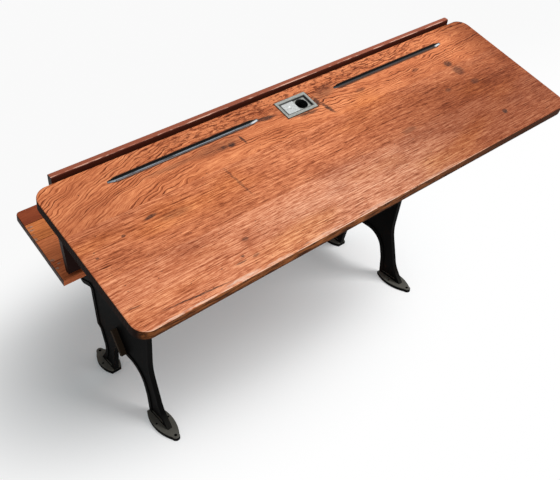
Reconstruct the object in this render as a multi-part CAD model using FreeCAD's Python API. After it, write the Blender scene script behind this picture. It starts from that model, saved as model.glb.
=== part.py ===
import FreeCAD, Part
import math
import os

# Two-pupil school desk on cast-iron standards, with a tip-up seat for the row in front.
# Millimetres. X runs along the desk, the writer sits at -Y, the seat is at +Y, Z is up.

V = FreeCAD.Vector
X_AXIS = V(1, 0, 0)
Z_AXIS = V(0, 0, 1)

# Desk top
top_length = 1067.0
top_depth = 322.5
top_thickness = 23.0
top_slope = 15.7
top_front_y = -296.295
top_front_z = 610.5115
top_corner_radius = 27.0
top_edge_radius = 2.0
top_board_count = 3
front_joint_shift = 2.0
rear_joint_shift = -2.5

# Pencil grooves
groove_length = 320.0
groove_radius = 5.0
groove_lift = 0.5
groove_point = 16.0
groove_point_radius = 2.6
groove_from_middle = 257.0
groove_from_rear = 42.0

# Inkwell
frame_length = 75.0
frame_width = 45.0
frame_floor = 2.0
frame_lip = 1.2
frame_proud = 1.2
frame_end_border = 6.0
frame_side_border = 6.0
frame_corner_radius = 1.0
frame_x = -5.0
frame_from_rear = 46.0
frame_clearance = 0.15
lid_length = 31.0
lid_thickness = 1.8
lid_clearance = 0.2
lip_overhang = 1.6
lid_rest_gap = 0.6
finger_curve = 12.0
finger_depth = 0.6
mouth_radius = 13.0
mouth_from_frame = 14.0
cup_wall = 2.5
cup_depth = 38.0
cup_floor = 3.0
cup_flange_width = 4.0
cup_flange_thickness = 3.0
cup_clearance = 0.3

# Back of the seat
back_length = 948.0
back_thickness = 13.0
rail_length = 986.0
rail_height = 80.0
rail_tilt = 7.0
rail_nose_radius = 3.0
rail_above_top = 8.2197
slat_height = 52.0
slat_tilt = 31.0
slat_gap = 2.0
slat_edge_radius = 2.5
bottom_board_height = 88.0
top_to_rail = 1.0

# Seat
seat_length = 977.0
seat_depth = 193.0
seat_thickness = 19.0
seat_slope = 17.0
seat_slat_gap = 1.2
seat_slat_shares = (0.252, 0.309, 0.239, 0.2)
seat_corner_radius = 9.0
seat_edge_radius = 2.5
seat_under_back = 16.0
seat_to_back = 1.5

# Seat arms and hinge
axis_below_seat_top = 36.0
axis_from_inner_edge = 48.0
pin_radius = 5.0
pin_clearance = 0.05
pin_head_radius = 9.0
pin_head_thickness = 4.0
boss_radius = 12.0
arm_thickness = 9.0
arm_gap = 0.5
arm_flange_thickness = 5.0
arm_flange_width = 32.0
arm_margin = 10.0
arm_end_depth = 8.0
arm_end_radius = 4.0
arm_root_radius = 3.0
arm_root_share = 0.7
stop_from_axis = 68.0
stop_length = 16.0
stop_height = 22.0
stop_gap = 0.3

# Cast-iron standards
standard_x = 374.0
web_thickness = 7.0
rim_thickness = 12.0
rim_width = 11.0
pad_width = 40.0
pad_thickness = 6.0
pad_front_margin = 51.5
pad_rear_margin = 12.0
rear_lug_y = 280.0
rear_lug_z = 247.0
rear_lug_height = 30.0
rear_lug_radius = 12.0
rear_lug_reach = 49.0
rear_lug_droop = 18.0
arch_top_z = 130.0
arch_front_y = 36.0
arch_rear_y = 177.0
arch_radius = 50.0
arch_draw_in = 14.0
ankle_z = 60.0
ankle_radius = 60.0
front_ankle_y = -12.0
front_ankle_z = 52.0
front_ankle_radius = 80.0
knee_y = 10.0
knee_z = 160.0
knee_radius = 150.0
waist_y = -10.0
waist_z = 300.0
waist_radius = 160.0
bracket_y = -120.0
bracket_z = 500.0
bracket_radius = 200.0
bracket_nose = 22.0
bracket_nose_run = 14.0
rear_knee_z = 133.0
rear_knee_step = 8.0
rear_knee_drop = 6.0
rear_ankle_draw_in = 20.0
rear_ankle_radius = 70.0
small_corner = 4.0
medium_corner = 10.0
large_corner = 14.0
notch_clearance = 4.0
notch_depth = 12.0
fin_inset = 29.0
heel_inset = 2.0
boss_merge = 1.0

# Feet
foot_thickness = 9.0
foot_half_width = 23.0
foot_tip_radius = 9.0
foot_heel_half_width = 12.0
foot_edge_radius = 2.0
front_foot_tip_y = -72.0
front_foot_heel_y = 37.0
rear_foot_tip_y = 279.0
rear_foot_heel_y = 190.0
foot_hole_radius = 3.5
foot_hole_from_tip = 10.0
side_hole_radius = 2.5
side_hole_offset = 15.5
foot_widest_share = 0.42

# Steep ledge on the outer face of each standard
ledge_length = 64.0
ledge_thickness = 10.0
ledge_reach = 16.0
ledge_tilt = 64.0
ledge_y = 119.6
ledge_z = 166.8

# Screws and bolts
screw_radius = 2.2
screw_bite = 12.0
screw_head_radius = 4.5
screw_head_thickness = 2.4
screw_clearance = 0.1
screw_end_gap = 0.5
head_round_share = 0.6
top_screw_offset = 14.0
bolt_radius = 2.6
bolt_bite = 14.0
bolt_head_radius = 6.5
bolt_head_thickness = 3.2

# How far a cutting shape reaches past the face that it opens
cut_margin = 1.0

# Overall reach along Y, which puts the origin under the middle of the desk
slope_sin = math.sin(math.radians(top_slope))
slope_cos = math.cos(math.radians(top_slope))
front_reach = top_front_y + top_edge_radius * (slope_cos + slope_sin - 1)
depth_centre = (front_reach + rear_lug_y) / 2


def box(x0, x1, y0, y1, z0, z1):
    return Part.makeBox(x1 - x0, y1 - y0, z1 - z0, V(x0, y0, z0))


def tilted(shape, angle, y, z):
    """Turns a shape about X at the origin and carries it to (y, z)."""
    moved = shape.copy()
    moved.rotate(V(0, 0, 0), X_AXIS, angle)
    moved.translate(V(0, y, z))
    return moved


def tilted_point(along, up, angle, y, z):
    turn = math.radians(angle)
    return (y + along * math.cos(turn) - up * math.sin(turn),
            z + along * math.sin(turn) + up * math.cos(turn))


def on_top(shape):
    """Carries a shape from the top's own frame, with its front arris at zero, to its place."""
    return tilted(shape, top_slope, top_front_y, top_front_z)


def top_point(along, up):
    return tilted_point(along, up, top_slope, top_front_y, top_front_z)


def rounded_face(corners):
    """Makes a face across X from (y, z, radius) corners."""
    starts, middles, ends = [], [], []
    count = len(corners)
    for index in range(count):
        here = V(0, corners[index][0], corners[index][1])
        before = V(0, corners[index - 1][0], corners[index - 1][1]) - here
        after = V(0, corners[(index + 1) % count][0], corners[(index + 1) % count][1]) - here
        before.normalize()
        after.normalize()
        half = before.getAngle(after) / 2
        radius = corners[index][2]
        reach = radius / math.tan(half)
        inward = (before + after).normalize()
        starts.append(here + before * reach)
        middles.append(here + inward * (radius / math.sin(half) - radius))
        ends.append(here + after * reach)
    edges = []
    for index in range(count):
        if corners[index][2] > 0:
            edges.append(Part.Arc(starts[index], middles[index], ends[index]).toShape())
        edges.append(Part.LineSegment(ends[index], starts[(index + 1) % count]).toShape())
    return Part.Face(Part.Wire(edges))


def across(face, thickness, x=0.0):
    """Extrudes a face along X, with its middle at x."""
    solid = face.extrude(V(thickness, 0, 0))
    solid.translate(V(x - thickness / 2, 0, 0))
    return solid


def plate(length, depth, thickness, corner_radius, edge_radius, corners_at):
    """Makes a board under the XY plane with its rear edges at +Y, rounded corners and soft edges."""
    board = box(-length / 2, length / 2, 0, depth, -thickness, 0)
    uprights = []
    for edge in board.Edges:
        middle = edge.CenterOfMass
        if abs(middle.z + thickness / 2) < 1e-6 and any(abs(middle.y - y) < 1e-6 for y in corners_at):
            uprights.append(edge)
    board = board.makeFillet(corner_radius, uprights)
    rims = [edge for edge in board.Edges if edge.BoundBox.ZLength < 1e-6]
    return board.makeFillet(edge_radius, rims)


def screw(point, direction, radius, bite, head_radius, head_thickness):
    """Makes a screw or bolt whose head stands on the face at point and whose shank follows direction."""
    shank = Part.makeCylinder(radius, bite, point, direction)
    head = Part.makeCylinder(head_radius, head_thickness, point - direction * head_thickness, direction)
    soft = [edge for edge in head.Edges
            if (edge.CenterOfMass - point).dot(direction) < -head_thickness / 2 and len(edge.Vertexes) == 1]
    head = head.makeFillet(head_thickness * head_round_share, soft)
    return head.fuse(shank).removeSplitter()


def save(name, shape):
    placed = shape.copy()
    placed.translate(V(0, -depth_centre, 0))
    placed.exportStep("parts/" + name + ".step")
    print(name, len(placed.Solids), "solids", round(placed.Volume), "mm3", placed.isValid())


# Frames of the back boards, each as (height, tilt, lower front arris y, z)
seat_cos = math.cos(math.radians(seat_slope))
rail_front_y = top_point(top_depth, -top_thickness)[0] + top_to_rail
rail_front_z = top_point(top_depth, -top_thickness)[1]
rail_lean = math.tan(math.radians(rail_tilt))
rail_top_z = top_point(top_depth, 0)[1] + rail_above_top
rail_base_z = rail_top_z - rail_height * math.cos(math.radians(rail_tilt))
rail_base_y = rail_front_y + (rail_front_z - rail_base_z) * rail_lean


def below(height, tilt, y, z, gap):
    """Finds the lower front arris of a board whose upper front arris lies a gap below (y, z)."""
    turn = math.radians(tilt)
    return (height, tilt, y + (height + gap) * math.sin(turn), z - (height + gap) * math.cos(turn))


rail_frame = (rail_height, rail_tilt, rail_base_y, rail_base_z)
kink_gap = slat_gap + back_thickness * math.tan(math.radians(slat_tilt - rail_tilt))
upper_frame = below(slat_height, slat_tilt, rail_base_y, rail_base_z, kink_gap)
lower_frame = below(slat_height, slat_tilt, upper_frame[2], upper_frame[3], slat_gap)
bottom_frame = below(bottom_board_height, 0.0, lower_frame[2], lower_frame[3], slat_gap)
back_frames = [rail_frame, upper_frame, lower_frame, bottom_frame]

# Seat frame: its inner top arris, which lies under the bottom board of the back
seat_inner_y = bottom_frame[2] + back_thickness - seat_under_back
seat_inner_z = bottom_frame[3] - seat_to_back - seat_under_back * math.tan(math.radians(seat_slope))
axis_y, axis_z = tilted_point(axis_from_inner_edge, -axis_below_seat_top,
                              seat_slope, seat_inner_y, seat_inner_z)


def on_seat(shape):
    return tilted(shape, seat_slope, seat_inner_y, seat_inner_z)


def seat_point(along, up):
    return tilted_point(along, up, seat_slope, seat_inner_y, seat_inner_z)


def back_point(frame, up):
    """Finds the point of a back board's front face at a height along the board."""
    turn = math.radians(frame[1])
    return (frame[2] - up * math.sin(turn), frame[3] + up * math.cos(turn))


# Places of the screws and bolts, shared by the holes and the fasteners
front_board_width = top_depth / top_board_count + front_joint_shift
rear_board_start = 2 * top_depth / top_board_count + rear_joint_shift
pad_start = pad_front_margin
pad_end = top_depth - pad_rear_margin
top_screw_places = [(pad_start + front_board_width) / 2,
                    (front_board_width + rear_board_start) / 2,
                    (rear_board_start + pad_end) / 2]
seat_wood = seat_depth - seat_slat_gap * (len(seat_slat_shares) - 1)
seat_slat_widths = [share * seat_wood for share in seat_slat_shares]
seat_slat_starts = [sum(seat_slat_widths[:index]) + index * seat_slat_gap
                    for index in range(len(seat_slat_widths))]
seat_screw_places = [start + width / 2 for start, width in zip(seat_slat_starts, seat_slat_widths)]
arm_inner_x = standard_x - rim_thickness / 2 - arm_gap - arm_thickness
arm_middle_x = arm_inner_x + arm_thickness / 2
arm_root = boss_radius * arm_root_share
seat_screw_x = arm_inner_x - (arm_flange_width - arm_thickness) / 2
sides = [("left", -1), ("right", 1)]
feet = [(front_foot_tip_y, front_foot_heel_y), (rear_foot_tip_y, rear_foot_heel_y)]


def top_fasteners(clearance):
    """Makes the screws from under the iron pads up into the top, or their holes with a clearance."""
    start = -top_thickness - pad_thickness
    solids = []
    for sign in (-1, 1):
        for along in top_screw_places:
            for offset in (-top_screw_offset, top_screw_offset):
                place = V(sign * standard_x + offset, along, start)
                if clearance:
                    length = pad_thickness + screw_bite + screw_end_gap
                    solids.append(Part.makeCylinder(screw_radius + clearance, length, place, Z_AXIS))
                else:
                    solids.append(screw(place, Z_AXIS, screw_radius, pad_thickness + screw_bite,
                                        screw_head_radius, screw_head_thickness))
    return on_top(Part.makeCompound(solids))


def seat_fasteners(clearance):
    """Makes the screws from under the seat arms up into the slats, or their holes with a clearance."""
    start = -seat_thickness - arm_flange_thickness
    solids = []
    for sign in (-1, 1):
        for along in seat_screw_places:
            place = V(sign * seat_screw_x, along, start)
            if clearance:
                length = arm_flange_thickness + screw_bite + screw_end_gap
                solids.append(Part.makeCylinder(screw_radius + clearance, length, place, Z_AXIS))
            else:
                solids.append(screw(place, Z_AXIS, screw_radius, arm_flange_thickness + screw_bite,
                                    screw_head_radius, screw_head_thickness))
    return on_seat(Part.makeCompound(solids))


def back_fasteners(clearance):
    """Makes the bolts from the rear of the back boards into the iron, or their holes with a clearance."""
    solids = []
    for sign in (-1, 1):
        for height, tilt, y, z in back_frames:
            bolt_height = height / 2
            if height == rail_height:
                bolt_height = (rail_front_z - rail_base_z) / 2
            place = V(sign * standard_x, back_thickness, bolt_height)
            toward = V(0, -1, 0)
            if clearance:
                length = back_thickness + bolt_bite + screw_end_gap
                made = Part.makeCylinder(bolt_radius + clearance, length, place, toward)
            else:
                made = screw(place, toward, bolt_radius, back_thickness + bolt_bite,
                             bolt_head_radius, bolt_head_thickness)
            solids.append(tilted(made, tilt, y, z))
    return Part.makeCompound(solids)


def groove(sign):
    """Makes the trough that one pencil groove takes out of the top: a round run with pointed ends."""
    run = groove_length - 2 * groove_point
    middle = sign * groove_from_middle
    along = top_depth - groove_from_rear
    start = V(middle - run / 2, along, groove_lift)
    end = V(middle + run / 2, along, groove_lift)
    trough = Part.makeCylinder(groove_radius, run, start, X_AXIS)
    trough = trough.fuse(Part.makeCone(groove_radius, groove_point_radius, groove_point, end, X_AXIS))
    trough = trough.fuse(Part.makeCone(groove_radius, groove_point_radius, groove_point, start, -X_AXIS))
    return trough


# Inkwell levels in the top's frame: the frame stands a little proud of the boards
frame_thickness = frame_floor + lid_thickness + lid_clearance + frame_lip
frame_bottom = frame_proud - frame_thickness
frame_along = top_depth - frame_from_rear
mouth_x = frame_x + mouth_from_frame
recess_length = frame_length - 2 * frame_end_border
recess_width = frame_width - 2 * frame_side_border
lid_level = frame_bottom + frame_floor
cup_radius = mouth_radius + cup_wall
cup_top = frame_bottom


def inkwell_cavity():
    """Makes the rebate for the frame, the step for the cup's flange and the hole for the cup."""
    half_length = frame_length / 2 + frame_clearance
    half_width = frame_width / 2 + frame_clearance
    rebate = box(frame_x - half_length, frame_x + half_length,
                 frame_along - half_width, frame_along + half_width, frame_bottom, frame_proud + cut_margin)
    centre = V(mouth_x, frame_along, -top_thickness - cut_margin)
    hole_depth = top_thickness + frame_bottom + 2 * cut_margin
    hole = Part.makeCylinder(cup_radius + cup_clearance, hole_depth, centre, Z_AXIS)
    step_radius = cup_radius + cup_flange_width + cup_clearance
    step_base = V(mouth_x, frame_along, cup_top - cup_flange_thickness)
    step = Part.makeCylinder(step_radius, cup_flange_thickness + cut_margin, step_base, Z_AXIS)
    return rebate.fuse(step).fuse(hole)


def make_top():
    board = plate(top_length, top_depth, top_thickness, top_corner_radius, top_edge_radius, (0, top_depth))
    board = board.cut(groove(-1)).cut(groove(1)).cut(inkwell_cavity())
    board = on_top(board).cut(top_fasteners(screw_clearance))
    limits = [0, front_board_width, rear_board_start, top_depth]
    names = ["top_board_front", "top_board_middle", "top_board_rear"]
    for index, name in enumerate(names):
        slab = box(-top_length, top_length, limits[index], limits[index + 1],
                   -2 * top_thickness, top_thickness)
        save(name, board.common(on_top(slab)))
    save("top_screws", top_fasteners(0))


def make_inkwell():
    low = frame_along - frame_width / 2
    body = box(frame_x - frame_length / 2, frame_x + frame_length / 2, low, low + frame_width,
               frame_bottom, frame_proud)
    uprights = [edge for edge in body.Edges if edge.BoundBox.ZLength > frame_thickness / 2]
    body = body.makeFillet(frame_corner_radius, uprights)
    x0 = frame_x - recess_length / 2
    x1 = frame_x + recess_length / 2
    half = recess_width / 2
    lid_top = lid_level + lid_thickness + lid_clearance
    channel = box(x0, x1, frame_along - half, frame_along + half, lid_level, lid_top)
    window = box(x0, x1, frame_along - half + lip_overhang, frame_along + half - lip_overhang,
                 lid_level, frame_proud + cut_margin)
    mouth_base = V(mouth_x, frame_along, frame_bottom - cut_margin)
    mouth = Part.makeCylinder(mouth_radius, frame_floor + 2 * cut_margin, mouth_base, Z_AXIS)
    save("inkwell_frame", on_top(body.cut(channel).cut(window).cut(mouth)))

    lid_half = half - lid_clearance
    lid_x = x0 + lid_rest_gap
    lid_low = lid_level + lid_clearance / 2
    lid = box(lid_x, lid_x + lid_length, frame_along - lid_half, frame_along + lid_half,
              lid_low, lid_low + lid_thickness)
    dimple_z = lid_low + lid_thickness + finger_curve - finger_depth
    dimple = Part.makeSphere(finger_curve, V(lid_x + lid_length / 2, frame_along, dimple_z))
    save("inkwell_lid", on_top(lid.cut(dimple)))

    base = V(mouth_x, frame_along, cup_top - cup_depth)
    cup = Part.makeCylinder(cup_radius, cup_depth, base, Z_AXIS)
    lower = [edge for edge in cup.Edges if abs(edge.CenterOfMass.z - base.z) < 1e-6]
    cup = cup.makeFillet(cup_wall, lower)
    flange_base = V(mouth_x, frame_along, cup_top - cup_flange_thickness)
    flange_radius = cup_radius + cup_flange_width
    cup = cup.fuse(Part.makeCylinder(flange_radius, cup_flange_thickness, flange_base, Z_AXIS))
    hollow = Part.makeCylinder(mouth_radius, cup_depth, base + Z_AXIS * cup_floor, Z_AXIS)
    save("inkwell_cup", on_top(cup.cut(hollow)))


def make_back():
    holes = back_fasteners(screw_clearance)
    names = ["back_rail", "back_slat_upper", "back_slat_lower", "back_board_bottom"]
    for name, (height, tilt, y, z) in zip(names, back_frames):
        length = rail_length if name == "back_rail" else back_length
        board = box(-length / 2, length / 2, 0, back_thickness, 0, height)
        tops = [edge for edge in board.Edges if edge.BoundBox.XLength > length / 2]
        upper = [edge for edge in tops if edge.CenterOfMass.z > height / 2]
        nose = rail_nose_radius if name == "back_rail" else slat_edge_radius
        board = board.makeFillet(nose, upper)
        lower = [edge for edge in board.Edges
                 if edge.BoundBox.XLength > length / 2 and edge.CenterOfMass.z < 1e-6]
        board = board.makeFillet(slat_edge_radius, lower)
        save(name, tilted(board, tilt, y, z).cut(holes))
    save("back_bolts", back_fasteners(0))


def make_seat():
    board = plate(seat_length, seat_depth, seat_thickness,
                  seat_corner_radius, seat_edge_radius, (seat_depth,))
    board = on_seat(board).cut(seat_fasteners(screw_clearance))
    for index, start in enumerate(seat_slat_starts):
        slab = box(-seat_length, seat_length, start, start + seat_slat_widths[index],
                   -2 * seat_thickness, seat_thickness)
        save("seat_slat_" + str(index + 1), board.common(on_seat(slab)))
    save("seat_screws", seat_fasteners(0))


def make_arm(name, sign):
    """Makes one seat arm: a boss round the pin, a tapering web and a flange under the slats."""
    under = -seat_thickness
    axis = (axis_from_inner_edge, -axis_below_seat_top)
    arm_end = seat_depth - arm_margin
    corners = [(axis[0] - boss_radius, axis[1], 0),
               (axis[0] + arm_root, axis[1] - arm_root, 0),
               (arm_end, under - arm_flange_thickness - arm_end_depth, arm_end_radius),
               (arm_end, under, 0),
               (arm_margin, under, 0),
               (arm_margin, under - arm_flange_thickness, arm_root_radius)]
    web = across(rounded_face(corners), arm_thickness, sign * arm_middle_x)
    boss = Part.makeCylinder(boss_radius, arm_thickness,
                             V(sign * arm_middle_x - arm_thickness / 2, axis[0], axis[1]), X_AXIS)
    outer = sign * (arm_inner_x + arm_thickness)
    inner = sign * (arm_inner_x + arm_thickness - arm_flange_width)
    flange = box(min(outer, inner), max(outer, inner), arm_margin, arm_end,
                 under - arm_flange_thickness, under)
    arm = on_seat(web.fuse(boss).fuse(flange).removeSplitter())
    bore = Part.makeCylinder(pin_radius + pin_clearance, 4 * arm_thickness,
                             V(sign * arm_middle_x - 2 * arm_thickness, axis_y, axis_z), X_AXIS)
    save(name, arm.cut(bore).cut(seat_fasteners(screw_clearance)))


def make_pin(name, sign):
    """Makes one hinge pin with a head outside the standard and a riveted end inside the arm."""
    outer = standard_x + rim_thickness / 2
    inner = arm_inner_x - stop_gap
    toward = V(-sign, 0, 0)
    shank = Part.makeCylinder(pin_radius, outer - inner, V(sign * outer, axis_y, axis_z), toward)
    head = Part.makeCylinder(pin_head_radius, pin_head_thickness,
                             V(sign * (outer + pin_head_thickness), axis_y, axis_z), toward)
    rivet = Part.makeCylinder(pin_head_radius, pin_head_thickness, V(sign * inner, axis_y, axis_z), toward)
    save(name, shank.fuse(head).fuse(rivet).removeSplitter())


def standard_corners():
    """Lists the outline of a standard, from the front foot up, over the seat hinge and down the rear leg."""
    pad_level = -top_thickness - pad_thickness / 2
    pad_front = top_point(pad_start, pad_level)
    pad_rear = top_point(pad_end, pad_level)
    rail_face = back_point(rail_frame, rail_front_z - rail_base_z - top_thickness)
    rail_foot = back_point(rail_frame, 0)
    slat_head = back_point(upper_frame, slat_height)
    slat_foot = back_point(lower_frame, 0)
    board_foot = back_point(bottom_frame, 0)
    sole_z = foot_thickness / 2
    notch_y = axis_y - math.hypot(axis_from_inner_edge, axis_below_seat_top) - notch_clearance
    notch_z = axis_z - axis_from_inner_edge - notch_depth
    boss_left = axis_y - boss_radius + boss_merge
    boss_right = axis_y + boss_radius - boss_merge
    stop_y = axis_y + stop_from_axis
    stop_z = stop_top() - stop_height / 2
    lug_low = rear_lug_z - rear_lug_height / 2
    lug_high = rear_lug_z + rear_lug_height / 2
    rear_y = rear_lug_y - rear_lug_reach
    return [(front_foot_tip_y + fin_inset, sole_z, 0),
            (front_ankle_y, front_ankle_z, front_ankle_radius),
            (knee_y, knee_z, knee_radius),
            (waist_y, waist_z, waist_radius),
            (bracket_y, bracket_z, bracket_radius),
            (pad_front[0] + bracket_nose_run, pad_front[1] - bracket_nose, large_corner),
            (pad_front[0], pad_front[1], 0),
            (pad_rear[0], pad_rear[1], small_corner),
            (rail_face[0], rail_face[1], small_corner),
            (rail_foot[0], rail_foot[1], 0),
            (slat_head[0], slat_head[1], 0),
            (slat_foot[0], slat_foot[1], 0),
            (board_foot[0], board_foot[1] + small_corner, small_corner / 2),
            (notch_y, board_foot[1], small_corner / 2),
            (notch_y, notch_z, medium_corner),
            (boss_left, notch_z, medium_corner),
            (boss_left, axis_z, 0),
            (boss_right, axis_z, 0),
            (boss_right + medium_corner, axis_z - large_corner, medium_corner),
            (stop_y - stop_length, stop_z, large_corner),
            (stop_y + stop_length / 2, stop_z, large_corner),
            (rear_y, lug_high + rear_lug_droop, small_corner),
            (rear_lug_y, lug_high, rear_lug_radius),
            (rear_lug_y, lug_low, rear_lug_radius),
            (rear_y, lug_low + rear_lug_droop, small_corner),
            (rear_y + small_corner, rear_knee_z, small_corner),
            (rear_y - rear_knee_step, rear_knee_z - rear_knee_drop, small_corner),
            (rear_y - rear_ankle_draw_in, ankle_z, rear_ankle_radius),
            (rear_foot_tip_y - fin_inset, sole_z, 0),
            (rear_foot_heel_y + heel_inset, sole_z, 0),
            (arch_rear_y, ankle_z, ankle_radius),
            (arch_rear_y - arch_draw_in, arch_top_z, arch_radius),
            (arch_front_y + arch_draw_in, arch_top_z, arch_radius),
            (arch_front_y, ankle_z, ankle_radius),
            (front_foot_heel_y - heel_inset, sole_z, 0)]


def stop_top():
    """Finds the level of the seat stop: the arm's lower edge there at rest, less a gap."""
    along = axis_from_inner_edge + stop_from_axis - stop_length
    arm_end = seat_depth - arm_margin
    start_along = axis_from_inner_edge + arm_root
    start_up = -axis_below_seat_top - arm_root
    end_up = -seat_thickness - arm_flange_thickness - arm_end_depth
    share = (along - start_along) / (arm_end - start_along)
    return seat_point(along, start_up + (end_up - start_up) * share)[1] - stop_gap / seat_cos


def foot(tip_y, heel_y, x):
    """Makes a leaf-shaped foot with a round tip, from its heel under the leg."""
    sign = 1 if tip_y > heel_y else -1
    length = abs(tip_y - heel_y)
    tip_start = length - foot_tip_radius
    widest = length * foot_widest_share
    left = Part.Arc(V(-foot_heel_half_width, 0, 0), V(-foot_half_width, widest, 0),
                    V(-foot_tip_radius, tip_start, 0)).toShape()
    tip = Part.Arc(V(-foot_tip_radius, tip_start, 0), V(0, length, 0),
                   V(foot_tip_radius, tip_start, 0)).toShape()
    right = Part.Arc(V(foot_tip_radius, tip_start, 0), V(foot_half_width, widest, 0),
                     V(foot_heel_half_width, 0, 0)).toShape()
    heel = Part.LineSegment(V(foot_heel_half_width, 0, 0), V(-foot_heel_half_width, 0, 0)).toShape()
    leaf = Part.Face(Part.Wire([left, tip, right, heel])).extrude(V(0, 0, foot_thickness))
    rims = [edge for edge in leaf.Edges
            if edge.BoundBox.ZLength < 1e-6 and edge.CenterOfMass.z > foot_thickness / 2]
    leaf = leaf.makeFillet(foot_edge_radius, rims)
    if sign < 0:
        leaf.rotate(V(0, 0, 0), Z_AXIS, 180)
    leaf.translate(V(x, heel_y, 0))
    return leaf


def foot_holes(x):
    """Makes the floor-screw holes: one near the tip of each foot and one on each side of its leg."""
    holes = []
    for tip_y, heel_y in feet:
        sign = 1 if tip_y > heel_y else -1
        tip_hole = V(x, tip_y - sign * foot_hole_from_tip, -foot_thickness)
        holes.append(Part.makeCylinder(foot_hole_radius, 3 * foot_thickness, tip_hole, Z_AXIS))
        for offset in (-side_hole_offset, side_hole_offset):
            side_hole = V(x + offset, heel_y + (tip_y - heel_y) * foot_widest_share, -foot_thickness)
            holes.append(Part.makeCylinder(side_hole_radius, 3 * foot_thickness, side_hole, Z_AXIS))
    return Part.makeCompound(holes)


def make_standard(name, sign):
    x = sign * standard_x
    outline = rounded_face(standard_corners())
    panel = outline.makeOffset2D(-rim_width)
    body = across(outline, web_thickness, x)
    rim = across(outline, rim_thickness, x).cut(across(panel, 2 * rim_thickness, x))
    body = body.fuse(rim)
    pad = box(x - pad_width / 2, x + pad_width / 2, pad_start, pad_end,
              -top_thickness - pad_thickness, -top_thickness)
    body = body.fuse(on_top(pad))
    boss = Part.makeCylinder(boss_radius, rim_thickness, V(x - rim_thickness / 2, axis_y, axis_z), X_AXIS)
    body = body.fuse(boss)
    for tip_y, heel_y in feet:
        body = body.fuse(foot(tip_y, heel_y, x))
    ledge_end = x + sign * (web_thickness / 2 + ledge_reach)
    ledge = box(min(x, ledge_end), max(x, ledge_end), -ledge_length / 2, ledge_length / 2,
                -ledge_thickness / 2, ledge_thickness / 2)
    body = body.fuse(tilted(ledge, ledge_tilt, ledge_y, ledge_z))
    stop_y = axis_y + stop_from_axis
    stop_inner = sign * arm_inner_x
    stop_outer = sign * standard_x
    top_z = stop_top()
    stop = box(min(stop_inner, stop_outer), max(stop_inner, stop_outer),
               stop_y - stop_length / 2, stop_y + stop_length / 2, top_z - stop_height, top_z)
    body = body.fuse(stop).removeSplitter()
    bore = Part.makeCylinder(pin_radius + pin_clearance, 4 * rim_thickness,
                             V(x - 2 * rim_thickness, axis_y, axis_z), X_AXIS)
    body = body.cut(bore).cut(foot_holes(x))
    body = body.cut(top_fasteners(screw_clearance)).cut(back_fasteners(screw_clearance))
    save(name, body)


os.makedirs("parts", exist_ok=True)
make_top()
make_inkwell()
make_back()
make_seat()
for side_name, side_sign in sides:
    make_arm("seat_arm_" + side_name, side_sign)
    make_pin("seat_hinge_pin_" + side_name, side_sign)
    make_standard(side_name + "_standard", side_sign)
print("hinge axis y", round(axis_y - depth_centre, 3), "z", round(axis_z, 3), "shift", round(depth_centre, 3))
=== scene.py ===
import math

import bmesh
import bpy
from mathutils import Matrix, Vector

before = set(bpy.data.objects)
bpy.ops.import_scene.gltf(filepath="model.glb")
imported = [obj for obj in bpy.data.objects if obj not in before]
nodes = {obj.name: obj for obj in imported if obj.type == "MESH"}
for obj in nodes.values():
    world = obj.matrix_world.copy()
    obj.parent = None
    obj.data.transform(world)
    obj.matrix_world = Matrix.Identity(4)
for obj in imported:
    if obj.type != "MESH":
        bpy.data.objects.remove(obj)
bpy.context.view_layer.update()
print("frame loaded:", len(nodes), "nodes")


class Wire:
    def __init__(self, tree, socket=None):
        self.tree = tree
        self.socket = socket

    def node(self, kind, settings=None, sockets=None, out=0):
        made = self.tree.nodes.new("ShaderNode" + kind)
        for key, value in (settings or {}).items():
            if key == "stops":  # a ramp's (place, colour) pairs
                stops = made.color_ramp.elements
                while len(stops) < len(value):
                    stops.new(1.0)
                for stop, (place, colour) in zip(stops, value):
                    stop.position = place
                    stop.color = (*colour, 1)
            else:
                setattr(made, key, value)
        for key, value in (sockets or {}).items():
            if isinstance(value, Wire):
                self.tree.links.new(value.socket, made.inputs[key])
            else:
                made.inputs[key].default_value = value
        return Wire(self.tree, made.outputs[out] if len(made.outputs) else None)

    def math(self, operation, first, second=0.0):
        return self.node("Math", {"operation": operation}, {0: first, 1: second})

    def __add__(self, other):
        return self.math("ADD", self, other)

    __radd__ = __add__

    def __sub__(self, other):
        return self.math("SUBTRACT", self, other)

    def __rsub__(self, other):
        return self.math("SUBTRACT", other, self)

    def __mul__(self, other):
        return self.math("MULTIPLY", self, other)

    __rmul__ = __mul__

    def __abs__(self):
        return self.math("ABSOLUTE", self)

    def fade(self, start, end):  # 0 at start, 1 at end, whichever is larger
        return self.node("MapRange", {"interpolation_type": "SMOOTHSTEP"},
                         {"Value": self, "From Min": start, "From Max": end})

    def clamp(self):
        return self.node("Clamp", None, {"Value": self})

    def most(self, other):
        return self.math("MAXIMUM", self, other)


def newMaterial(name):
    made = bpy.data.materials.new(name)
    made.use_nodes = True
    made.node_tree.nodes.clear()
    return made, Wire(made.node_tree)


def objectPlace(wire):
    return wire.node("TexCoord", out=3)


def facingNormal(wire):
    return wire.node("TexCoord", out=1)


def split(place):
    outputs = place.node("SeparateXYZ", None, {"Vector": place}).socket.node.outputs
    return [Wire(place.tree, outputs[index]) for index in range(3)]


def noise(place, scale, detail=2.0, rough=0.5, seed=(0, 0, 0), out=0):
    spread = place.node("Mapping", None, {"Vector": place, "Scale": scale, "Location": seed})
    return place.node("TexNoise", None,
                      {"Vector": spread, "Scale": 1.0, "Detail": detail, "Roughness": rough}, out)


def patches(place, patch):  # a noise (scale, detail, roughness, seed), shown where it rises through its band
    return noise(place, *patch["noise"]).fade(*patch["band"])


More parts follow.
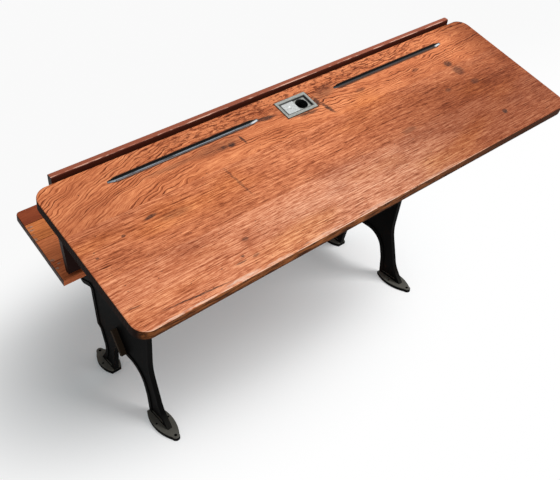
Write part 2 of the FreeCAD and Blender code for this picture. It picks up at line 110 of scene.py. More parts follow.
def mixColour(factor, first, second, blend="MIX"):
    colours = [shade if isinstance(shade, Wire) else (*shade, 1) for shade in (first, second)]
    return factor.node("Mix", {"data_type": "RGBA", "blend_type": blend},
                       {0: factor, 6: colours[0], 7: colours[1]}, out=2)


def cover(colour, mask, finish, blend="MIX"):
    return mixColour(mask * finish["strength"], colour, finish["shade"], blend)


def bump(height, strength, distance):
    return height.node("Bump", None, {"Height": height, "Strength": strength, "Distance": distance})


def closeMaterial(made, wire, sockets):
    shader = wire.node("BsdfPrincipled", None, sockets)
    wire.node("OutputMaterial", None, {"Surface": shader})
    return made


def dress(material, *names):
    for name in names:
        nodes[name].data.materials.clear()
        nodes[name].data.materials.append(material)


# Sloping frames: x along the desk, y up the slope from the lower arris, z out of the boards
topFrame = {"slope": math.radians(15.7), "baseY": -0.288381, "baseZ": 0.610512}
seatFrame = {"slope": math.radians(17.0), "baseY": 0.09201, "baseZ": 0.4327}


def slopedPlace(wire, place):
    turn = Matrix.Rotation(-place["slope"], 3, "X")
    shift = -(turn @ Vector((0, place["baseY"], place["baseZ"])))
    return wire.node("Mapping", None, {"Vector": objectPlace(wire), "Rotation": (-place["slope"], 0, 0),
                                       "Location": tuple(shift)})


def liftOf(wire, place):  # 1 on faces that look out of the boards, 0 on their edges
    outward = (0, -math.sin(place["slope"]), math.cos(place["slope"]))
    return wire.node("VectorMath", {"operation": "DOT_PRODUCT"}, {0: facingNormal(wire), 1: outward}, out=1)


# What all the oak shares. A noise is its scale along, across and through the board, its detail and its roughness
oak = {
    "bend": (1.0, 0.4), "curl": (1.0, 0.5), "arcStart": -0.22,
    "drift": ((1.5, 30, 30), 1.0, 0.5), "driftDepth": 2.0,
    "ringRise": (0.0, 0.06), "ringPale": (0.0, 0.5),  # dark at once, then paling across the ring
    "ringShow": ((7, 30, 30), 3.0, 0.6), "ringBand": (0.36, 0.62), "ringRelief": 0.5,
    "streaks": [((20, 470, 470), 3.0, 0.7), ((70, 520, 520), 3.0, 0.7), ((9, 130, 130), 3.0, 0.6)],
    "streakShares": [0.56, 0.36, 0.08],
    "broad": ((4, 32, 32), 3.0, 0.55),
    "pores": ((45, 480, 480), 2.0, 0.6), "poreBand": (0.58, 0.68), "poreRelief": 0.6,
    "noiseMiddle": 0.5}


def oakGrain(place, grain):
    x, along, up = split(place)
    seed, middle = grain["seed"], oak["noiseMiddle"]
    bend = noise(place, grain["bendScale"], *oak["bend"], seed) - middle
    curl = noise(place, grain["curlScale"], *oak["curl"], seed) - middle
    endward = (oak["arcStart"] - x).clamp()
    bent = along + bend * grain["bendDepth"] + curl * grain["curlDepth"] + endward * endward * grain["endArc"]
    lines = place.node("CombineXYZ", None, {0: x, 1: bent, 2: up})
    drift = noise(lines, *oak["drift"], seed) * oak["driftDepth"]
    ring = place.math("FRACT", bent * (1 / grain["ringWidth"]) + drift)
    rings = (1 - ring.fade(*oak["ringPale"])) * ring.fade(*oak["ringRise"])
    rings = rings * noise(lines, *oak["ringShow"], seed).fade(*oak["ringBand"])
    streak = sum(noise(lines, *fine, seed) * share for fine, share in zip(oak["streaks"], oak["streakShares"]))
    broad = noise(lines, *oak["broad"], seed)
    pores = noise(lines, *oak["pores"], seed).fade(*oak["poreBand"])
    tone = (streak - middle) * grain["streakDepth"] + (broad - middle) * grain["broadDepth"] + grain["level"]
    tone = tone - rings * grain["ringDepth"] - pores * grain["poreDepth"]
    return tone.clamp(), streak - pores * oak["poreRelief"] - rings * oak["ringRelief"]


wobble = {"noise": ((70, 110, 110), 2.0, 0.6, (3, 1, 4)), "reach": (0.008, 0.004, 0), "edge": (1.25, 0.45),
          "through": 10}


def spots(place, marks):  # soft ovals with loose outlines
    ragged = noise(place, *wobble["noise"], out=1)
    loose = place.node("VectorMath", {"operation": "MULTIPLY_ADD"}, {0: ragged, 1: wobble["reach"], 2: place})
    shiftX, shiftAlong = wobble["reach"][0] / 2, wobble["reach"][1] / 2
    total = None
    for x, along, halfX, halfAlong, turn, strength in marks:
        local = place.node("Mapping", {"vector_type": "TEXTURE"},
                           {"Vector": loose, "Location": (x + shiftX, along + shiftAlong, 0),
                            "Rotation": (0, 0, math.radians(turn)),
                            "Scale": (halfX, halfAlong, wobble["through"])})
        reach = place.node("VectorMath", {"operation": "LENGTH"}, {0: local}, out=1)
        mask = reach.fade(*wobble["edge"]) * strength
        total = mask if total is None else total.most(mask)
    return total


# Marks on the top: x, place up the slope, half sizes, turn in degrees, strength
rearMarks = [
    (-0.083, 0.276, 0.029, 0.0055, -4, 0.9), (0.038, 0.267, 0.008, 0.014, 0, 0.9),
    (0.048, 0.241, 0.0055, 0.0185, 13, 0.9), (0.0, 0.2485, 0.028, 0.005, -6, 0.8),
    (0.07, 0.281, 0.034, 0.016, 20, 0.45), (-0.1545, 0.2525, 0.003, 0.0135, 7, 0.9),
    (-0.18, 0.251, 0.011, 0.006, 0, 0.95), (-0.2, 0.2525, 0.014, 0.005, 0, 0.85),
    (-0.3, 0.258, 0.07, 0.006, 0, 0.35), (-0.21, 0.257, 0.06, 0.013, 0, 0.4),
    (0.142, 0.2496, 0.014, 0.006, 0, 0.5), (0.296, 0.2407, 0.011, 0.005, 0, 0.5),
    (0.38, 0.2205, 0.011, 0.012, 20, 0.8)]
middleMarks = [
    (0.3855, 0.1956, 0.015, 0.016, 25, 0.6), (0.3931, 0.152, 0.013, 0.008, 0, 0.55),
    (0.315, 0.16, 0.009, 0.005, 0, 0.5), (-0.397, 0.1826, 0.014, 0.004, 4, 0.85),
    (-0.4546, 0.1712, 0.0036, 0.0028, 0, 0.95), (-0.356, 0.1684, 0.034, 0.009, 0, 0.3),
    (-0.5118, 0.1531, 0.003, 0.0022, 0, 0.8), (0.152, 0.114, 0.02, 0.008, 0, 0.4),
    (-0.224, 0.176, 0.003, 0.042, 6, 0.5)]
frontMarks = [
    (0.3795, 0.0544, 0.0075, 0.0065, 0, 0.95), (-0.291, 0.0659, 0.008, 0.004, 0, 0.6),
    (-0.3149, 0.0398, 0.0035, 0.003, 0, 0.9), (-0.325, 0.031, 0.012, 0.002, -3, 0.7),
    (-0.295, 0.0304, 0.009, 0.003, 0, 0.5), (-0.513, 0.048, 0.013, 0.0018, -6, 0.5),
    (-0.419, 0.0153, 0.068, 0.0016, -5.2, 0.85)]
wornMarks = [
    (-0.445, 0.0024, 0.068, 0.0014, 0, 0.9), (-0.342, 0.0048, 0.037, 0.0034, 0, 0.95),
    (-0.268, 0.0032, 0.03, 0.0022, 0, 0.7), (-0.17, 0.0045, 0.045, 0.0028, 0, 0.5),
    (-0.04, 0.004, 0.05, 0.0025, 0, 0.45), (0.12, 0.0035, 0.05, 0.002, 0, 0.3)]

# Colours of the grain from dark to light: redder to the front, more orange to the rear
topBoards = {
    "top_board_front": {
        "stops": [(0.0, (0.075, 0.016, 0.006)), (0.35, (0.31, 0.08, 0.032)),
                  (0.62, (0.55, 0.175, 0.08)), (1.0, (0.87, 0.39, 0.21))],
        "grain": {"seed": (2, 5, 1), "bendScale": (1.5, 5, 5), "bendDepth": 0.02,
                  "curlScale": (14, 30, 30), "curlDepth": 0.002, "ringWidth": 0.009, "ringDepth": 0.14,
                  "streakDepth": 3.2, "broadDepth": 0.45, "poreDepth": 0.22, "level": 0.685, "endArc": 0.0},
        "marks": frontMarks, "worn": True, "grooved": False},
    "top_board_middle": {
        "stops": [(0.0, (0.065, 0.0135, 0.0055)), (0.35, (0.295, 0.075, 0.029)),
                  (0.62, (0.55, 0.171, 0.074)), (1.0, (0.87, 0.36, 0.174))],
        "grain": {"seed": (8, 2, 6), "bendScale": (1.5, 5, 5), "bendDepth": 0.03,
                  "curlScale": (14, 30, 30), "curlDepth": 0.002, "ringWidth": 0.008, "ringDepth": 0.18,
                  "streakDepth": 3.2, "broadDepth": 0.55, "poreDepth": 0.22, "level": 0.61, "endArc": 0.0},
        "marks": middleMarks, "worn": False, "grooved": False},
    "top_board_rear": {
        "stops": [(0.0, (0.055, 0.011, 0.005)), (0.35, (0.28, 0.068, 0.025)),
                  (0.62, (0.55, 0.165, 0.066)), (1.0, (0.87, 0.34, 0.148))],
        "grain": {"seed": (4, 9, 3), "bendScale": (2.4, 7, 7), "bendDepth": 0.085,
                  "curlScale": (30, 55, 55), "curlDepth": 0.016, "ringWidth": 0.0068, "ringDepth": 0.62,
                  "streakDepth": 2.2, "broadDepth": 0.7, "poreDepth": 0.2, "level": 0.7, "endArc": 0.9},
        "marks": rearMarks, "worn": False, "grooved": True}}

# What age has done to the top, and the shade and sheen painted on it. A pair of numbers is where a change starts
# and where it is complete
topFinish = {
    "cloud": {"noise": ((5, 16, 16), 3.0, 0.6, (5, 5, 5)), "band": (0.45, 0.75),
              "strength": 0.55, "shade": (0.6, 0.53, 0.56)},
    "warm": {"noise": ((3, 9, 9), 2.0, 0.5, (7, 3, 1)), "band": (0.5, 0.68),
             "strength": 0.7, "shade": (1.0, 0.93, 0.66)},
    # painted shade: the right end darkened, as the light falls off towards it
    "rightEndShade": {"x": (-0.1, 0.36), "along": (0.25, 0.14), "lastX": (0.4, 0.53),
                 "strength": 1.0, "shade": (0.48, 0.41, 0.385)},
    # painted sheen: a lighter, bluer patch near the middle of the front
    "lean": {"left": (-0.4, -0.12), "right": (0.28, 0.08), "along": (0.15, 0.06),
             "strength": 1.0, "shade": (0.98, 1.15, 1.33)},
    "stain": {"noise": ((120, 400, 400), 3.0, 0.6), "band": (0.15, 0.55),
              "strength": 1.0, "shade": (0.03, 0.02, 0.019), "rough": 0.15, "depth": 0.4},
    "speck": {"noise": ((160, 210, 210), 1.0, 0.5, (9, 4, 2)), "band": (0.735, 0.775),
              "strength": 0.75, "shade": (0.06, 0.03, 0.022)},
    "edge": {"lift": (0.66, 0.3), "noise": ((30, 160, 160), 4.0, 0.6, (1, 8, 2)), "band": (0.35, 0.65),
             "x": (0.45, -0.2), "dark": (0.045, 0.012, 0.003), "light": (0.32, 0.105, 0.03), "rough": 0.25},
    "lowEdge": {"up": (-0.014, -0.0215), "strength": 0.75, "shade": (0.02, 0.007, 0.003)},
    # light along the front arris: bare worn wood, and partly a painted highlight on the round-over
    "worn": {"noise": ((38, 120, 120), 3.0, 0.65, (2, 2, 7)), "chipBand": (0.4, 0.52), "chips": 0.7,
             "arris": (0.99, 0.9), "above": (0.3, 0.55), "x": (0.38, 0.05), "corner": (0.5, 0.15),
             "rubBand": (0.3, 0.55), "rubDepth": 0.65, "rubBase": 0.25,
             "strength": 0.85, "shade": (0.84, 0.6, 0.46), "rough": 0.15, "depth": 0.5},
    # end faces nearly black: dark end grain, and painted shade
    "endFace": {"sideways": (0.5, 0.9), "strength": 1.0, "shade": (0.011, 0.0045, 0.003)},
    "under": {"lift": (-0.5, -0.9), "strength": 1.0, "shade": (0.1, 0.045, 0.022)},
    "rough": 0.42, "grainRough": 0.2, "specular": 0.05, "bump": (0.22, 0.0006)}


def agedColourWithPaintedLight(place, colour):
    x, along = split(place)[:2]
    for key in ("cloud", "warm"):
        colour = cover(colour, patches(place, topFinish[key]), topFinish[key], "MULTIPLY")
    end = topFinish["rightEndShade"]  # painted shade: redder and darker towards the right end, as the light falls off
    shaded = (x.fade(*end["x"]) * along.fade(*end["along"])).most(x.fade(*end["lastX"]))
    colour = cover(colour, shaded, end, "MULTIPLY")
    lean = topFinish["lean"]  # painted sheen: lighter and bluer near the middle of the front
    pale = x.fade(*lean["left"]) * x.fade(*lean["right"]) * along.fade(*lean["along"])
    return cover(colour, pale, lean, "MULTIPLY")


def edgeVarnish(place):
    x, up = split(place)[::2]
    edge, low = topFinish["edge"], topFinish["lowEdge"]
    varnish = mixColour(patches(place, edge) * x.fade(*edge["x"]), edge["dark"], edge["light"])
    return cover(varnish, up.fade(*low["up"]), low)


# light along the front arris and in rubbed patches: bare worn wood, and on the arris partly a painted highlight
def wornArris(place, lift, sideways):
    worn = topFinish["worn"]
    grain = noise(place, *worn["noise"])
    above = lift.fade(*worn["above"])
    chips = lift.fade(*worn["arris"]) * above * grain.fade(*worn["chipBand"]) * worn["chips"]
    chips = chips * split(place)[0].fade(*worn["x"]) * abs(sideways).fade(*worn["corner"])
    rubbed = spots(place, wornMarks) * above * (grain.fade(*worn["rubBand"]) * worn["rubDepth"] + worn["rubBase"])
    return chips.most(rubbed)


inkwellPlace = {"x": -0.005, "along": 0.2765, "frameHalf": (0.0375, 0.0225), "recessHalf": (0.0315, 0.0149)}
groovePlace = {"along": 0.2805, "half": 0.0056, "middle": 0.257, "halfLength": 0.161, "taper": 0.018,
               "endSoft": 0.001, "sideSoft": 0.0006, "lift": (0.999, 0.985)}
rearFinish = {
    "figure": {"noise": ((70, 170, 170), 3.0, 0.65, (6, 1, 3)), "band": (0.48, 0.6), "along": (0.27, 0.297),
               "left": (-0.45, -0.2), "right": (0.42, 0.3), "strength": 0.9, "shade": (0.33, 0.25, 0.25)},
    # painted shadow: a dark line round the inkwell frame, where it stands proud of the top
    "frameShadow": {"past": (0.003, 0.0006), "strength": 0.85, "shade": (0.02, 0.013, 0.011)},
    "lip": {"shift": 0.0006, "past": (0.0028, 0.0004), "strength": 0.85, "shade": (0.022, 0.012, 0.009)},
    "slate": {"noise": ((30, 300, 300), 3.0, 0.6), "band": (0.3, 0.6), "x": (0.1, -0.1),
              "dark": (0.045, 0.055, 0.06), "light": (0.28, 0.325, 0.36), "smooth": 0.14},
    "walls": {"rear": (0.0014, 0.0028), "front": (-0.0038, -0.005),
              "strength": 1.0, "shade": (0.006, 0.006, 0.007)},
    # painted highlight near the right end of each groove
    "paintedGlint": {"x": (0.144, 0.15), "front": (-0.003, -0.001), "rear": (0.003, 0.001),
              "strength": 0.9, "shade": (0.75, 0.78, 0.8)}}


def pastOblong(x, along, half):  # how far outside an oblong about the inkwell's middle
    return (abs(x - inkwellPlace["x"]) - half[0]).most(abs(along - inkwellPlace["along"]) - half[1])


def grooveSlate(place, across):
    x = split(place)[0]
    slate, walls, paintedGlint = rearFinish["slate"], rearFinish["walls"], rearFinish["paintedGlint"]
    colour = mixColour(patches(place, slate) * x.fade(*slate["x"]), slate["dark"], slate["light"])
    colour = cover(colour, across.fade(*walls["rear"]).most(across.fade(*walls["front"])), walls)
    # painted highlight near the right end of each groove
    rightward = x - place.math("SIGN", x) * groovePlace["middle"]  # from the middle of either groove
    bright = rightward.fade(*paintedGlint["x"]) * across.fade(*paintedGlint["front"]) * across.fade(*paintedGlint["rear"])
    return cover(colour, bright, paintedGlint)


def groovedColour(place, lift, colour):
    x, along = split(place)[:2]
    figure, lip = rearFinish["figure"], rearFinish["lip"]
    curly = patches(place, figure) * along.fade(*figure["along"])  # curly figure along the rear edge
    curly = curly * x.fade(*figure["left"]) * x.fade(*figure["right"])
    colour = cover(colour, curly, figure, "MULTIPLY")
    # painted shadow: a dark line round the inkwell frame, where it stands proud of the top
    dirtAndShade = pastOblong(x, along, inkwellPlace["frameHalf"]).fade(*rearFinish["frameShadow"]["past"])
    colour = cover(colour, dirtAndShade, rearFinish["frameShadow"])
    half, halfLength = groovePlace["half"], groovePlace["halfLength"]
    lengthwise = abs(abs(x) - groovePlace["middle"])
    across = along - groovePlace["along"]
    inLength = lengthwise.fade(halfLength, halfLength - groovePlace["endSoft"])
    inWidth = abs(across).fade(half, half - groovePlace["sideSoft"])
    taper = lengthwise.fade(halfLength, halfLength - groovePlace["taper"])
    rim = (abs(across + lip["shift"]) - taper * half).fade(*lip["past"]) * inLength
    colour = cover(colour, rim, lip)
    trough = inLength * inWidth * lift.fade(*groovePlace["lift"])
    return mixColour(trough, colour, grooveSlate(place, across)), trough


def topOak(name, board):
    made, wire = newMaterial(name + "Oak")
    place = slopedPlace(wire, topFrame)
    sideways = split(facingNormal(wire))[0]
    lift = liftOf(wire, topFrame)
    edge, stain, worn = topFinish["edge"], topFinish["stain"], topFinish["worn"]
    tone, relief = oakGrain(place, board["grain"])
    colour = wire.node("ValToRGB", {"stops": board["stops"]}, {"Fac": tone})
    colour = agedColourWithPaintedLight(place, colour)
    stained = spots(place, board["marks"]) * patches(place, stain)
    colour = cover(colour, stained, stain)
    colour = cover(colour, patches(place, topFinish["speck"]), topFinish["speck"])
    side = lift.fade(*edge["lift"])
    colour = mixColour(side, colour, edgeVarnish(place))
    rough = relief * topFinish["grainRough"] + topFinish["rough"] + stained * stain["rough"] + side * edge["rough"]
    height = relief - stained * stain["depth"]
    if board["worn"]:
        bare = wornArris(place, lift, sideways)
        colour = cover(colour, bare, worn)
        rough = rough + bare * worn["rough"]
        height = height - bare * worn["depth"]
    # end faces nearly black: dark end grain, and painted shade
    colour = cover(colour, abs(sideways).fade(*topFinish["endFace"]["sideways"]) * side, topFinish["endFace"])
    colour = cover(colour, lift.fade(*topFinish["under"]["lift"]), topFinish["under"])
    if board["grooved"]:
        colour, trough = groovedColour(place, lift, colour)
        rough = rough - trough * rearFinish["slate"]["smooth"]
    return closeMaterial(made, wire, {"Base Color": colour, "Roughness": rough,
                                      "Specular IOR Level": topFinish["specular"],
                                      "Normal": bump(height, *topFinish["bump"])})


for name, board in topBoards.items():
    dress(topOak(name, board), name)
print("top dressed")

backFinish = {
    "stops": [(0.0, (0.02, 0.005, 0.004)), (0.4, (0.085, 0.021, 0.013)),
              (0.7, (0.17, 0.045, 0.026)), (1.0, (0.3, 0.095, 0.055))],
    "grain": {"seed": (6, 1, 8), "bendScale": (1.2, 6, 6), "bendDepth": 0.03,
              "curlScale": (12, 30, 30), "curlDepth": 0.003, "ringWidth": 0.008, "ringDepth": 0.2,
              "streakDepth": 1.0, "broadDepth": 0.5, "poreDepth": 0.12, "level": 0.6, "endArc": 0.0},
    # painted shade: the front faces under the desktop are dark, darker still low down
    "front": {"facing": (-0.45, -0.8), "strength": 0.9, "shade": (0.04, 0.0085, 0.0045)},
    "low": {"z": (0.62, 0.56), "strength": 0.8, "shade": (0.009, 0.002, 0.0015)},
    # painted light: the rail's upward faces are lighter
    "litCrown": {"facing": (0.5, 0.85), "strength": 0.75, "shade": (0.34, 0.1, 0.055)},
    # light along the rail's front arris: a painted highlight, and bare worn wood
    "rubbed": {"noise": ((24, 200, 200), 3.0, 0.65), "band": (0.46, 0.6), "facing": (-0.25, -0.4),
               "facingEnd": (-0.9, -0.7), "strength": 0.8, "shade": (0.75, 0.45, 0.34)},
    # end faces nearly black: dark end grain, and painted shade
    "endFace": {"facing": (0.6, 0.9), "strength": 0.95, "shade": (0.006, 0.0035, 0.003)},
    "railTop": (0.69, 0.7), "rough": 0.36, "grainRough": 0.18, "specular": 0.05, "bump": (0.15, 0.0004)}


def backOak():
    made, wire = newMaterial("darkBackOak")
    place = objectPlace(wire)
    x, y, z = split(place)
    facing = split(facingNormal(wire))
    upright = place.node("CombineXYZ", None, {0: x, 1: z, 2: y})
    tone, relief = oakGrain(upright, backFinish["grain"])
    colour = wire.node("ValToRGB", {"stops": backFinish["stops"]}, {"Fac": tone})
    front = facing[1].fade(*backFinish["front"]["facing"])  # painted shade: the side towards the writers, under the desktop, is dark
    colour = cover(colour, front, backFinish["front"])
    # painted shade: darker still low down, under the desktop
    colour = cover(colour, front * z.fade(*backFinish["low"]["z"]), backFinish["low"])
    high = z.fade(*backFinish["railTop"])
    # painted light: the rail's upward faces are lighter
    colour = cover(colour, facing[2].fade(*backFinish["litCrown"]["facing"]) * high, backFinish["litCrown"])
    rubbed = backFinish["rubbed"]  # the rail's front arris: a painted highlight, and bare worn wood
    bare = facing[1].fade(*rubbed["facing"]) * facing[1].fade(*rubbed["facingEnd"]) * high
    colour = cover(colour, bare * patches(place, rubbed), rubbed)
    # end faces nearly black: dark end grain, and painted shade
    colour = cover(colour, abs(facing[0]).fade(*backFinish["endFace"]["facing"]), backFinish["endFace"])
    return closeMaterial(made, wire, {"Base Color": colour,
                                      "Roughness": relief * backFinish["grainRough"] + backFinish["rough"],
                                      "Specular IOR Level": backFinish["specular"],
                                      "Normal": bump(relief, *backFinish["bump"])})


dress(backOak(), "back_rail", "back_slat_upper", "back_slat_lower", "back_board_bottom")
print("back dressed")

# Scuffs are listed as the top's marks are
seatSlats = {
    "seat_slat_1": {"seed": (11, 20, 3), "level": 0.5, "dark": (0.33, 0.068, 0.026), "light": (0.95, 0.3, 0.115),
                    "scuffs": [(-0.4763, 0.0407, 0.005, 0.0022, 0, 0.9), (-0.4829, 0.0315, 0.004, 0.003, 0, 0.9)]},
    "seat_slat_2": {"seed": (11, 20, 3), "level": 0.5, "dark": (0.42, 0.1, 0.036), "light": (0.95, 0.31, 0.12),
                    "scuffs": [(-0.484, 0.052, 0.005, 0.003, 0, 0.95)]},
    "seat_slat_3": {"seed": (11, 24, 3), "level": 0.6, "dark": (0.26, 0.06, 0.019), "light": (0.88, 0.29, 0.092),
                    "scuffs": [(-0.481, 0.1448, 0.007, 0.003, 0, 0.9), (-0.4817, 0.1359, 0.006, 0.0026, 0, 0.95),
                               (-0.484, 0.125, 0.004, 0.0022, 0, 0.8), (-0.4855, 0.1125, 0.004, 0.004, 0, 0.9)]},
    "seat_slat_4": {"seed": (11, 20, 3), "level": 0.5, "dark": (0.15, 0.031, 0.014), "light": (0.34, 0.08, 0.032),
                    "scuffs": [(-0.40, 0.17, 0.01, 0.004, 0, 0.4)]}}
seatFinish = {
    "grain": {"bendScale": (2, 8, 8), "bendDepth": 0.03, "curlScale": (16, 40, 40), "curlDepth": 0.003,
              "ringWidth": 0.008, "ringDepth": 0.22, "streakDepth": 2.2, "broadDepth": 0.9,
              "poreDepth": 0.12, "endArc": 0.0},
    "scuff": {"strength": 0.6, "shade": (0.1, 0.035, 0.02), "rough": 0.25},
    "flake": {"noise": ((160, 420, 420), 3.0, 0.65, (4, 4, 1)), "band": (0.44, 0.56),
              "strength": 0.75, "shade": (0.6, 0.44, 0.34)},
    # end faces nearly black: dark end grain, and painted shade
    "endFace": {"sideways": (0.5, 0.9), "strength": 0.96, "shade": (0.009, 0.004, 0.003)},
    "rough": 0.36, "grainRough": 0.2, "specular": 0.04, "bump": (0.18, 0.0005)}


def seatOak(name, slat):
    made, wire = newMaterial(name + "Oak")
    place = slopedPlace(wire, seatFrame)
    sideways = split(facingNormal(wire))[0]
    tone, relief = oakGrain(place, {**seatFinish["grain"], "seed": slat["seed"], "level": slat["level"]})
    colour = mixColour(tone, slat["dark"], slat["light"])
    scuff = spots(place, slat["scuffs"])
    flaked = scuff * patches(place, seatFinish["flake"])
    colour = cover(colour, scuff, seatFinish["scuff"])
    colour = cover(colour, flaked, seatFinish["flake"])
    # end faces nearly black: dark end grain, and painted shade
    colour = cover(colour, abs(sideways).fade(*seatFinish["endFace"]["sideways"]), seatFinish["endFace"])
    rough = relief * seatFinish["grainRough"] + seatFinish["rough"] + scuff * seatFinish["scuff"]["rough"]
    return closeMaterial(made, wire, {"Base Color": colour, "Roughness": rough,
                                      "Specular IOR Level": seatFinish["specular"],
                                      "Normal": bump(relief - flaked, *seatFinish["bump"])})


for name, slat in seatSlats.items():
    dress(seatOak(name, slat), name)
print("seat dressed")

ironFinish = {
    "paint": (0.0034, 0.0033, 0.0032),
    "pits": ((420, 420, 420), 3.0, 0.6), "lumps": ((55, 55, 55), 3.0, 0.55),
    "patch": ((14, 14, 9), 4.0, 0.65, (6, 2, 2)),
    "rust": {"band": (0.52, 0.75), "strength": 0.5, "shade": (0.016, 0.009, 0.006)},
    # the feet's upward faces: dusty, and painted light from above
    "dustAndLight": {"facing": (0.45, 0.9), "z": (0.05, 0.012), "patch": 0.9, "base": 0.35, "shade": (0.13, 0.128, 0.112)},
    # the ledge: worn paint, and painted light where its face turns to the light
    "ledge": {"x": (0.3803, 0.3812), "low": (0.1, 0.11), "high": (0.25, 0.24), "patch": 0.8, "base": 0.4,
              "shade": (0.05, 0.034, 0.022)},
    "rough": 0.42, "pitRough": 0.2, "patchRough": 0.1, "specular": 0.02,
    "lumpShare": 0.7, "pitShare": 0.3, "bump": (0.3, 0.0012)}


def blackIron():
    made, wire = newMaterial("blackIron")
    place = objectPlace(wire)
    x, z = split(place)[::2]
    upward = split(facingNormal(wire))[2]
    rust, dustAndLight, ledge = ironFinish["rust"], ironFinish["dustAndLight"], ironFinish["ledge"]
    pits = noise(place, *ironFinish["pits"])
    lumps = noise(place, *ironFinish["lumps"])
    patch = noise(place, *ironFinish["patch"])
    colour = cover(ironFinish["paint"], patch.fade(*rust["band"]), rust)
    settled = upward.fade(*dustAndLight["facing"]) * z.fade(*dustAndLight["z"])  # the feet's upward faces: dusty, and painted light from above
    settled = settled * (patch * dustAndLight["patch"] + dustAndLight["base"])
    colour = mixColour(settled.clamp(), colour, dustAndLight["shade"])
    bare = abs(x).fade(*ledge["x"]) * z.fade(*ledge["low"]) * z.fade(*ledge["high"])  # the ledge has lost its paint, and is painted lighter where its face catches the light
    colour = mixColour(bare * (patch * ledge["patch"] + ledge["base"]).clamp(), colour, ledge["shade"])
    rough = pits * ironFinish["pitRough"] + ironFinish["rough"] + patch * ironFinish["patchRough"]
    height = lumps * ironFinish["lumpShare"] + pits * ironFinish["pitShare"]
    return closeMaterial(made, wire, {"Base Color": colour, "Roughness": rough,
                                      "Specular IOR Level": ironFinish["specular"],
                                      "Normal": bump(height, *ironFinish["bump"])})


dress(blackIron(), "left_standard", "right_standard", "seat_arm_left", "seat_arm_right")
print("iron dressed")

steelFinish = {"blotch": ((300, 300, 300), 3.0, 0.6), "band": (0.35, 0.65),
               "bright": (0.16, 0.15, 0.14), "dull": (0.05, 0.042, 0.036),
               "metallic": 0.85, "rough": 0.3, "blotchRough": 0.3, "bump": (0.2, 0.0003)}


def agedSteel():
    made, wire = newMaterial("agedSteel")
    blotch = noise(objectPlace(wire), *steelFinish["blotch"])
    colour = mixColour(blotch.fade(*steelFinish["band"]), steelFinish["bright"], steelFinish["dull"])
    return closeMaterial(made, wire, {"Base Color": colour, "Metallic": steelFinish["metallic"],
                                      "Roughness": blotch * steelFinish["blotchRough"] + steelFinish["rough"],
                                      "Normal": bump(blotch, *steelFinish["bump"])})


dress(agedSteel(), "top_screws", "back_bolts", "seat_screws", "seat_hinge_pin_left", "seat_hinge_pin_right")

pewterFinish = {
    "frame": (0.34, 0.35, 0.325), "lid": (0.52, 0.54, 0.53), "dull": 0.5,
    "blotch": ((260, 260, 260), 4.0, 0.62), "blotchBand": (0.35, 0.7), "blotchDepth": 0.6,
    "brushed": ((60, 1500, 900), 2.0, 0.5),
    "slideEnds": (0.0279, 0.0291), "slideSide": (0.0127, 0.0137), "brim": (0.0022, 0.001), "brimDepth": 0.8,
    "surface": 0.0006, "walls": (0.7, 0.3),
    # darkening: soil, and painted shade in the slide's gaps and on faces that do not look up
    "grimeAndShade": {"strength": 0.92, "shade": (0.018, 0.019, 0.018), "metallic": 0.6, "rough": 0.2},
    "metallic": 0.9, "rough": 0.42, "blotchRough": 0.2,
    "blotchShare": 0.7, "brushedShare": 0.3, "bump": (0.25, 0.0004)}


def pewter(name, bright):
    made, wire = newMaterial(name)
    place = slopedPlace(wire, topFrame)
    x, along, up = split(place)
    dirtAndShade = pewterFinish["grimeAndShade"]
    blotch = noise(place, *pewterFinish["blotch"])
    brushed = noise(place, *pewterFinish["brushed"])
    dull = [shade * pewterFinish["dull"] for shade in bright]
    colour = mixColour(blotch.fade(*pewterFinish["blotchBand"]) * pewterFinish["blotchDepth"], bright, dull)
    ends = abs(x - inkwellPlace["x"]).fade(*pewterFinish["slideEnds"])
    rearSide = (along - inkwellPlace["along"]).fade(*pewterFinish["slideSide"])
    grimeAndShade = ends.most(rearSide) * up.fade(pewterFinish["surface"], 0.0)  # soiled, and painted shade in the gaps at the ends and rear side of the slide
    brim = pastOblong(x, along, inkwellPlace["recessHalf"]).fade(*pewterFinish["brim"])
    grimeAndShade = grimeAndShade.most(brim * up.fade(0.0, pewterFinish["surface"]) * pewterFinish["brimDepth"])
    # painted shade: faces that do not look up are darkened
    grimeAndShade = grimeAndShade.most(liftOf(wire, topFrame).fade(*pewterFinish["walls"]))
    colour = cover(colour, grimeAndShade, dirtAndShade)
    height = blotch * pewterFinish["blotchShare"] + brushed * pewterFinish["brushedShare"]
    rough = blotch * pewterFinish["blotchRough"] + pewterFinish["rough"] + grimeAndShade * dirtAndShade["rough"]
    return closeMaterial(made, wire, {"Base Color": colour, "Roughness": rough,
                                      "Metallic": pewterFinish["metallic"] - grimeAndShade * dirtAndShade["metallic"],
                                      "Normal": bump(height, *pewterFinish["bump"])})


dress(pewter("wornPewter", pewterFinish["frame"]), "inkwell_frame")
dress(pewter("rubbedPewter", pewterFinish["lid"]), "inkwell_lid")

glassFinish = {"film": ((140, 140, 60), 3.0, 0.6), "band": (0.3, 0.7), "clean": (0.006, 0.007, 0.007),
               "filmed": (0.03, 0.034, 0.03), "rough": 0.08, "filmRough": 0.25, "coat": 0.4}


def inkGlass():
    made, wire = newMaterial("inkGlass")
    film = noise(objectPlace(wire), *glassFinish["film"])
    colour = mixColour(film.fade(*glassFinish["band"]), glassFinish["clean"], glassFinish["filmed"])
    return closeMaterial(made, wire, {"Base Color": colour, "Coat Weight": glassFinish["coat"],
                                      "Roughness": film * glassFinish["filmRough"] + glassFinish["rough"]})


dress(inkGlass(), "inkwell_cup")
print("fittings dressed")

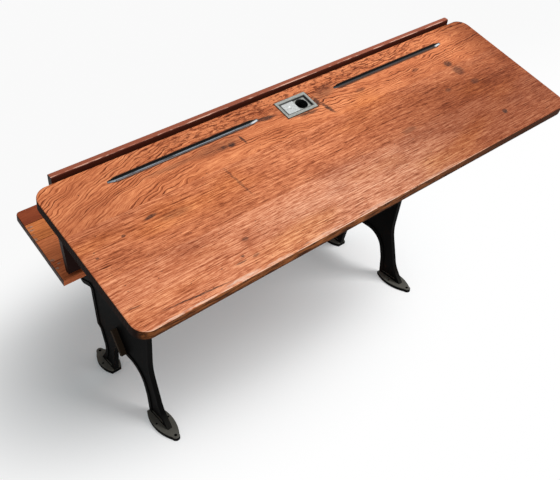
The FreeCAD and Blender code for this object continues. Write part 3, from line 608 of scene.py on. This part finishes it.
# Floor, world and lamp. Past an oval round the desk, the camera sees the floor as plain white
studio = {
    "floorHalf": 9.0, "floorShade": (0.86, 0.86, 0.86), "floorLift": 0.1, "liftTint": (0.84, 1.0, 1.06),
    "fadeMiddle": (-0.04, 0.24, 0), "fadeShape": (1.25, 0.78, 1.0), "fade": (0.28, 0.72),
    "whiteSide": (0.9, 0.1), "whiteReach": (4.0, 1.5), "background": 0.95, "skyLight": 0.36,
    "lampPlace": (1.8, -2.1, 3.9), "lampAim": (0.0, 0.0, 0.4), "lampSize": 2.0, "lampPower": 193.0}
white = (1, 1, 1, 1)


def seenDirectly(wire):
    rays = wire.node("LightPath").socket.node.outputs
    seen = [Wire(wire.tree, rays[key]) for key in ("Is Camera Ray", "Is Glossy Ray", "Is Transmission Ray")]
    return (seen[0] + seen[1] + seen[2]).clamp()


def makeFloor():
    mesh = bpy.data.meshes.new("paleFloor")
    made = bmesh.new()
    bmesh.ops.create_grid(made, x_segments=1, y_segments=1, size=studio["floorHalf"])
    made.to_mesh(mesh)
    made.free()
    floor = bpy.data.objects.new("paleFloor", mesh)
    bpy.context.scene.collection.objects.link(floor)
    material, wire = newMaterial("paleFloor")
    place = objectPlace(wire)
    oval = wire.node("Mapping", {"vector_type": "TEXTURE"},
                     {"Vector": place, "Location": studio["fadeMiddle"], "Scale": studio["fadeShape"]})
    far = wire.node("VectorMath", {"operation": "LENGTH"}, {0: oval}, out=1).fade(*studio["fade"])
    lit = wire.node("BsdfDiffuse", None, {"Color": (*studio["floorShade"], 1)})
    glow = wire.node("Emission", None, {"Color": (*studio["liftTint"], 1), "Strength": studio["floorLift"]})
    lifted = wire.node("AddShader", None, {0: lit, 1: glow})
    away = wire.node("VectorMath", {"operation": "LENGTH"}, {0: place}, out=1)
    whiter = split(place)[1].fade(*studio["whiteSide"])  # on the writers' side, and not at the horizon
    whiter = whiter * away.fade(*studio["whiteReach"])
    paper = mixColour(whiter, [studio["background"]] * 3, white[:3])
    plain = wire.node("Emission", None, {"Color": paper, "Strength": 1.0})
    shown = wire.node("MixShader", None, {0: far, 1: lifted, 2: plain})
    surface = wire.node("MixShader", None, {0: seenDirectly(wire), 1: lit, 2: shown})
    wire.node("OutputMaterial", None, {"Surface": surface})
    mesh.materials.append(material)


def makeWorld():
    world = bpy.data.worlds.new("paleStudio")
    bpy.context.scene.world = world
    world.use_nodes = True
    world.node_tree.nodes.clear()
    wire = Wire(world.node_tree)
    sky = wire.node("Background", None, {"Color": white, "Strength": studio["skyLight"]})
    plain = wire.node("Background", None, {"Color": white, "Strength": studio["background"]})
    surface = wire.node("MixShader", None, {0: seenDirectly(wire), 1: sky, 2: plain})
    wire.node("OutputWorld", None, {"Surface": surface})


def makeLamp():
    lamp = bpy.data.lights.new("overheadSoftbox", "AREA")
    lamp.shape = "SQUARE"
    lamp.size = studio["lampSize"]
    lamp.energy = studio["lampPower"]
    holder = bpy.data.objects.new("overheadSoftbox", lamp)
    holder.location = studio["lampPlace"]
    aim = Vector(studio["lampAim"]) - Vector(studio["lampPlace"])
    holder.rotation_euler = aim.to_track_quat("-Z", "Y").to_euler()
    bpy.context.scene.collection.objects.link(holder)


view = {"place": (-0.8765, -1.0091, 1.4165), "forward": (0.5007, 0.5948, -0.6289), "lens": 49.56}


def makeCamera():
    camera = bpy.data.cameras.new("photoCamera")
    camera.lens = view["lens"]
    camera.sensor_fit = "HORIZONTAL"
    holder = bpy.data.objects.new("photoCamera", camera)
    holder.location = view["place"]
    holder.rotation_euler = Vector(view["forward"]).to_track_quat("-Z", "Y").to_euler()
    bpy.context.scene.collection.objects.link(holder)
    bpy.context.scene.camera = holder


makeFloor()
makeWorld()
makeLamp()
makeCamera()
bpy.context.scene.view_settings.view_transform = "Standard"
print("studio set")
